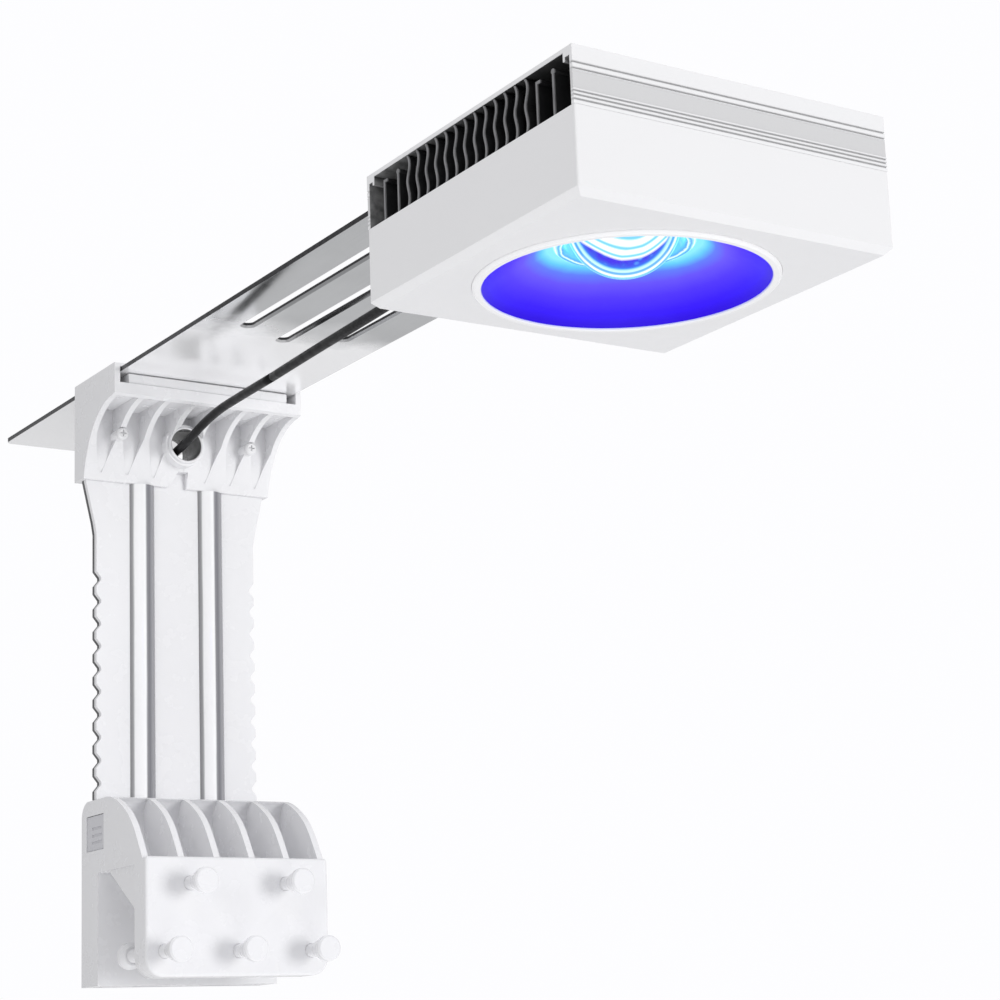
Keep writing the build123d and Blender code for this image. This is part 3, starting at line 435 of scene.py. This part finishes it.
def lit_lens():
    """Half ball of glass over the lit chips: white-hot where it faces the viewer, then a dark faceted band,
    then a white and a pale blue line along its edge."""
    n = Nodes("lit_lens")
    height = n.remap(n.parts(n.place())[2], LENS_LOW.z, LENS_HIGH.z, 0.0, 1.0)
    layer = n.add("LayerWeight")
    layer.inputs["Blend"].default_value = 0.5
    facing = layer.outputs["Facing"]
    sway = n.remap(n.noise(55.0, 0.0, 0.5, n.place((1.0, 1.0, 0.5))), 0.3, 0.7, -0.08, 0.08)
    heat = n.math("ADD", n.math("SUBTRACT", n.math("MULTIPLY_ADD", height, 0.8, 0.2), facing), sway)
    arcs = n.math("SINE", n.math("MULTIPLY_ADD", heat, ARC_RATE, ARC_PHASE))
    hot = n.ramp(n.remap(arcs, -1.0, 1.0, 0.0, 1.0), [
        (0.03, srgb(120, 210, 248)), (0.28, srgb(200, 243, 252)), (0.60, srgb(255, 255, 255)),
    ])
    facets = n.add("TexVoronoi")
    facets.inputs["Scale"].default_value = 330.0
    n.link(n.place(), facets.inputs["Vector"])
    spots = n.ramp(facets.outputs["Distance"], [
        (0.18, srgb(90, 180, 248)), (0.40, srgb(38, 76, 222)), (0.70, srgb(52, 26, 222)),
    ])
    band = n.ramp(facing, [
        (0.05, srgb(70, 46, 235)), (0.30, srgb(48, 30, 215)), (0.40, srgb(36, 100, 228)),
    ])
    body = n.mix(n.remap(facing, 0.30, 0.42, 0.15, 1.0), spots, band)
    inner = n.mix(n.remap(heat, 0.10, 0.16, 0.0, 1.0), body, hot)
    edge = n.ramp(facing, [
        (0.42, srgb(60, 160, 240)), (0.48, srgb(190, 244, 255)), (0.51, srgb(200, 246, 255)),
        (0.55, srgb(74, 160, 240)), (0.60, srgb(90, 178, 244)), (0.65, srgb(248, 255, 255)),
        (0.70, srgb(240, 255, 255)), (0.75, srgb(90, 190, 246)), (0.90, srgb(150, 232, 252)),
    ])
    glow = n.mix(n.remap(facing, 0.40, 0.44, 0.0, 1.0), inner, edge)
    glowing(n, glow, 1.0, 0.04)
    n.set(Coat_Weight=0.3, Coat_Roughness=0.02)
    return n.material


def circuit_board(name, colour):
    """Solder mask with fine copper runs showing through."""
    n = Nodes(name)
    runs = n.add("TexBrick")
    runs.inputs["Scale"].default_value = 160.0
    runs.inputs["Mortar Size"].default_value = 0.05
    runs.inputs["Color1"].default_value = (*colour, 1)
    runs.inputs["Color2"].default_value = (*shade(colour, 0.85), 1)
    runs.inputs["Mortar"].default_value = (*[min(1, c * 1.4 + 0.03) for c in colour], 1)
    n.link(n.place(), runs.inputs["Vector"])
    n.link(runs.outputs["Color"], n.shader.inputs["Base Color"])
    n.link(n.remap(n.noise(200.0), 0.3, 0.7, 0.3, 0.45), n.shader.inputs["Roughness"])
    n.bump(runs.outputs["Fac"], 0.3, 0.00002)
    return n.material


def soft_grey(name, colour, rough=0.7):
    """Filled silicone or dark moulded component body."""
    n = Nodes(name)
    tint = n.ramp(n.noise(500.0, 5.0), [(0.3, shade(colour, 0.7)), (0.7, colour)])
    n.link(tint, n.shader.inputs["Base Color"])
    n.link(n.remap(n.noise(150.0), 0.3, 0.7, rough - 0.1, rough + 0.1), n.shader.inputs["Roughness"])
    n.bump(n.noise(1600.0), 0.3, 0.00002)
    return n.material


def paint_nodes():
    """Gives each carried-over node its material, and returns those that the record names."""
    by_slot = {
        "white_plastic": moulded_plastic("white_plastic", WHITE_PLASTIC),
        "grey_plastic": moulded_plastic("grey_plastic", (0.62, 0.62, 0.65)),
        "white_paint": painted_shell("white_paint", WHITE_PAINT),
        "polished_steel": polished_sheet("polished_steel", (0.70, 0.71, 0.72)),
        "zinc_steel": plain_steel("zinc_steel", (0.62, 0.63, 0.65)),
        "nickel": plain_steel("nickel", (0.72, 0.70, 0.66), 0.18),
        "black_anodised": black_anodised(),
        "black_plastic": cable_jacket("black_plastic", 0.45),
        "cable_jacket": cable_jacket(),
        "tie_plastic": cable_jacket("tie_plastic", 0.5),
        "lit_reflector": lit_reflector(),
        "lit_ring": lit_ring(),
        "lit_lens": lit_lens(),
        "board_white": circuit_board("board_white", (0.75, 0.75, 0.73)),
        "board_green": circuit_board("board_green", (0.02, 0.12, 0.04)),
        "component_dark": soft_grey("component_dark", (0.05, 0.05, 0.055), 0.5),
        "led_phosphor": soft_grey("led_phosphor", (0.8, 0.75, 0.35), 0.4),
        "thermal_grey": soft_grey("thermal_grey", (0.35, 0.35, 0.37)),
    }
    by_node = {
        "post_rail_left": polished_rail("rail_left", "post_rail_left"),
        "post_rail_right": polished_rail("rail_right", "post_rail_right"),
        "post_board": moulded_plastic("post_plastic", WHITE_PLASTIC, dark_line=POST_LINE),
        "cable_bush": bush_plastic("bush_plastic", WHITE_PLASTIC),
        "head_cover": painted_shell("cover_paint_and_shade", WHITE_PAINT, painted_shade=True),
        # The bezel's paler white is painted light from the glowing bowl; its glossier finish is its own.
        "bezel_ring": moulded_plastic("bezel_gloss_painted_light", (0.93, 0.93, 0.94), rough=0.16),
    }
    for part in frame["record"]["subparts"]:
        mesh = NODES[part["node"]].data
        mesh.materials.clear()
        mesh.materials.append(by_node.get(part["node"]) or by_slot[part["material_slot"]])
    return by_slot


# ---------------------------------------------------------------- moulded edges

SOFT_EDGES = {
    "rim_clamp_body": 0.0005, "arm_bracket": 0.00045, "post_board": 0.0006, "head_cover": 0.00012,
    "lower_housing": 0.0005, "bezel_ring": 0.0002, "arm_clamp_bar": 0.0003, "cable_bush": 0.0004,
    "detent_clip_left": 0.00025, "detent_clip_right": 0.00025, "slide_strips": 0.0003,
    "lens_holder": 0.0003, "heat_sink": 0.0001, "coil_tie": 0.0002, "plug_body": 0.0003,
}


def soften_edges():
    """Small radii on the moulded and folded edges, as modifiers on the carried-over nodes."""
    for name, width in SOFT_EDGES.items():
        node = NODES[name]
        weld = node.modifiers.new("weld", "WELD")
        weld.merge_threshold = 0.000002
        flat = node.modifiers.new("flat", "DECIMATE")
        flat.decimate_type = "DISSOLVE"
        flat.angle_limit = math.radians(0.6)
        bevel = node.modifiers.new("soft", "BEVEL")
        bevel.width = width
        bevel.segments = 3
        bevel.limit_method = "ANGLE"
        bevel.angle_limit = math.radians(38)
        bevel.harden_normals = True
        bevel.use_clamp_overlap = True


# ---------------------------------------------------------------- power lead

LEAD_D = 0.0038
FRONT_ROUTE = [
    (-0.0330, -0.2650, 0.1835), (-0.0286, -0.2250, 0.1849), (-0.0236, -0.1850, 0.1872),
    (-0.0183, -0.1450, 0.1898), (-0.0126, -0.1050, 0.1923),
]
REAR_ROUTE = [
    (-0.01257, -0.1048, 0.19231), (-0.0084, -0.0700, 0.1944), (-0.0056, -0.0350, 0.1952),
    (-0.0043, -0.0030, 0.1887), (-0.0010, 0.0240, 0.1880), (0.0055, 0.0420, 0.1720),
    (0.0150, 0.0432, 0.1490), (0.0236, 0.0384, 0.1266),
]
TAIL_ROUTE = [(0.0060, 0.0286, 0.0860), (0.0020, 0.0310, 0.0660), (0.0020, 0.0312, 0.0440)]
COIL_POINTS = 24
COIL_LEAD_IN, COIL_LEAD_OUT = 2, 3
COIL_CROSSING = 6
# Each turn's place in the bundle: the outer (1) or inner (-1) column, and its row, counted from the post.
COIL_SLOTS = [(1, 4), (-1, 4), (-1, 3), (1, 3), (1, 2), (-1, 2), (-1, 1), (1, 1)]


def coil_points():
    """Turns that lie beside and on each other, one slot of the bundle for each turn. The last sixth of a turn
    crosses over to the next slot."""
    low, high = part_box("lead_coil")
    centre = (low + high) / 2
    middle = (high.x - low.x) / 2 - LEAD_D
    points = []
    last = (len(COIL_SLOTS) - 1) * COIL_POINTS + COIL_LEAD_OUT
    for step in range(COIL_LEAD_IN, last + 1):
        turn, within = divmod(step, COIL_POINTS)
        side, row = COIL_SLOTS[turn]
        moving = within / COIL_POINTS * COIL_CROSSING - (COIL_CROSSING - 1)
        if moving > 0 and turn + 1 < len(COIL_SLOTS):
            ease = moving * moving * (3 - 2 * moving)
            next_side, next_row = COIL_SLOTS[turn + 1]
            side += (next_side - side) * ease
            row += (next_row - row) * ease
        radius = middle + side * LEAD_D / 2
        y = low.y + (row - 0.5) * LEAD_D
        angle = -2 * math.pi * step / COIL_POINTS
        points.append((centre.x + radius * math.cos(angle), y, centre.z + radius * math.sin(angle)))
    return points


def nurbs(name, points):
    """The route's smooth line, with its points as control points."""
    curve = bpy.data.curves.new(name, "CURVE")
    curve.dimensions = "3D"
    curve.resolution_u = 8
    spline = curve.splines.new("NURBS")
    spline.points.add(len(points) - 1)
    for point, place in zip(spline.points, points):
        point.co = (*place, 1.0)
    spline.order_u = 3
    spline.use_endpoint_u = True
    return curve


def read_line(curve):
    """Points along a curve that has no bevel."""
    holder = bpy.data.objects.new("line", curve)
    bpy.context.scene.collection.objects.link(holder)
    mesh = bpy.data.meshes.new_from_object(holder)
    points = [v.co.copy() for v in mesh.vertices]
    bpy.data.objects.remove(holder)
    bpy.data.meshes.remove(mesh)
    return points


def round_tube(name, line, radius, sides=20):
    """A tube of even roundness along a line."""
    vertices, faces = [], []
    heading = (line[1] - line[0]).normalized()
    side = heading.orthogonal().normalized()
    for index, place in enumerate(line):
        before, after = line[max(index - 1, 0)], line[min(index + 1, len(line) - 1)]
        new_heading = (after - before).normalized()
        side = heading.rotation_difference(new_heading) @ side
        heading = new_heading
        up = heading.cross(side)
        for k in range(sides):
            angle = 2 * math.pi * k / sides
            vertices.append(place + radius * (math.cos(angle) * side + math.sin(angle) * up))
    for ring in range(len(line) - 1):
        for k in range(sides):
            a, b = ring * sides + k, ring * sides + (k + 1) % sides
            faces.append((a, b, b + sides, a + sides))
    faces.append(tuple(reversed(range(sides))))
    faces.append(tuple(range(len(vertices) - sides, len(vertices))))
    mesh = bpy.data.meshes.new(name)
    mesh.from_pydata(vertices, [], faces)
    mesh.validate()
    for polygon in mesh.polygons:
        polygon.use_smooth = len(polygon.vertices) == 4
    piece = bpy.data.objects.new(name, mesh)
    bpy.context.scene.collection.objects.link(piece)
    return piece


def make_lead(jacket):
    """Both stretches of the power lead, each across the one joint that it spans."""
    front_line = read_line(nurbs("front_route", FRONT_ROUTE))
    front = round_tube("lead_from_head", front_line, LEAD_D / 2)
    front.data.materials.append(jacket)
    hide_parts("lead_front")
    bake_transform(front)

    rear_line = read_line(nurbs("rear_route", REAR_ROUTE + coil_points() + TAIL_ROUTE))
    rear = round_tube("lead_to_plug", rear_line, LEAD_D / 2)
    rear.data.materials.append(jacket)
    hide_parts("lead_rear", "lead_coil", "lead_tail")
    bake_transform(rear)


# ---------------------------------------------------------------- stage


def make_floor():
    n = Nodes("floor_paper")
    tint = n.ramp(n.noise(6.0, 4.0), [(0.3, (0.80, 0.80, 0.80)), (0.7, (0.84, 0.84, 0.84))])
    n.link(tint, n.shader.inputs["Base Color"])
    n.set(Roughness=0.9)
    mesh = bpy.data.meshes.new("floor")
    corners = [(x * FLOOR_HALF, y * FLOOR_HALF, FLOOR_Z) for x, y in ((-1, -1), (1, -1), (1, 1), (-1, 1))]
    mesh.from_pydata(corners, [], [(0, 1, 2, 3)])
    mesh.materials.append(n.material)
    floor = bpy.data.objects.new("floor", mesh)
    bpy.context.scene.collection.objects.link(floor)
    floor.visible_shadow = False


def sun(name, direction, strength, softness, glossy):
    """A distant soft lamp that shines along a direction. A strength of 1 lights a white face fully."""
    data = bpy.data.lights.new(name, "SUN")
    data.energy = strength * math.pi
    data.angle = math.radians(softness)
    light = bpy.data.objects.new(name, data)
    light.rotation_euler = Vector(direction).to_track_quat("-Z", "Y").to_euler()
    light.visible_glossy = glossy
    bpy.context.scene.collection.objects.link(light)


def make_lights():
    """A pale backdrop, brighter to the camera than to the lamp, three soft suns and a fill on the left."""
    world = bpy.data.worlds.new("studio")
    bpy.context.scene.world = world
    world.use_nodes = True
    tree = world.node_tree
    background = tree.nodes["Background"]
    path = tree.nodes.new("ShaderNodeLightPath")
    seen = tree.nodes.new("ShaderNodeMapRange")
    seen.inputs["To Min"].default_value = BACKDROP_LIGHT
    seen.inputs["To Max"].default_value = BACKDROP_SEEN
    tree.links.new(path.outputs["Is Camera Ray"], seen.inputs["Value"])
    tree.links.new(seen.outputs["Result"], background.inputs["Strength"])
    background.inputs["Color"].default_value = (0.985, 0.985, 1.0, 1)
    for name, direction, strength, softness, glossy in SUNS:
        sun(name, direction, strength, softness, glossy)
    head_low, head_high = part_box("lower_housing")
    head_side = Vector((head_low.x, head_low.y * 0.5 + head_high.y * 0.5, head_low.z))
    side_light("head_fill", head_side, FILL_AWAY, FILL_SIZE, FILL_WATTS)


def side_light(name, target, away, size, watts):
    """A small soft lamp to the left of a target, which the camera doesn't see."""
    data = bpy.data.lights.new(name, "AREA")
    data.shape, data.size, data.energy = "DISK", size, watts
    light = bpy.data.objects.new(name, data)
    light.location = target + Vector((-away, 0, 0))
    light.rotation_euler = (target - light.location).to_track_quat("-Z", "Y").to_euler()
    light.visible_camera = False
    light.visible_glossy = False
    bpy.context.scene.collection.objects.link(light)


def make_camera():
    """Low in front and to the left of the lamp, looking up at it."""
    camera = bpy.data.objects.new("camera", bpy.data.cameras.new("camera"))
    bpy.context.scene.collection.objects.link(camera)
    facing = Quaternion((0, 0, 1), CAMERA_TURN) @ Quaternion((1, 0, 0), math.pi / 2 + CAMERA_RAISED)
    camera.rotation_mode = "QUATERNION"
    camera.rotation_quaternion = facing @ Quaternion((0, 0, 1), CAMERA_LEAN)
    camera.location = CAMERA_PLACE
    camera.data.sensor_width = 36.0
    camera.data.lens = CAMERA_LENS
    camera.data.clip_start, camera.data.clip_end = 0.02, 60.0
    bpy.context.scene.camera = camera
    bpy.context.scene.view_settings.view_transform = "Standard"


MATERIALS = paint_nodes()
soften_edges()
make_lead(MATERIALS["cable_jacket"])
make_floor()
make_lights()
make_camera()
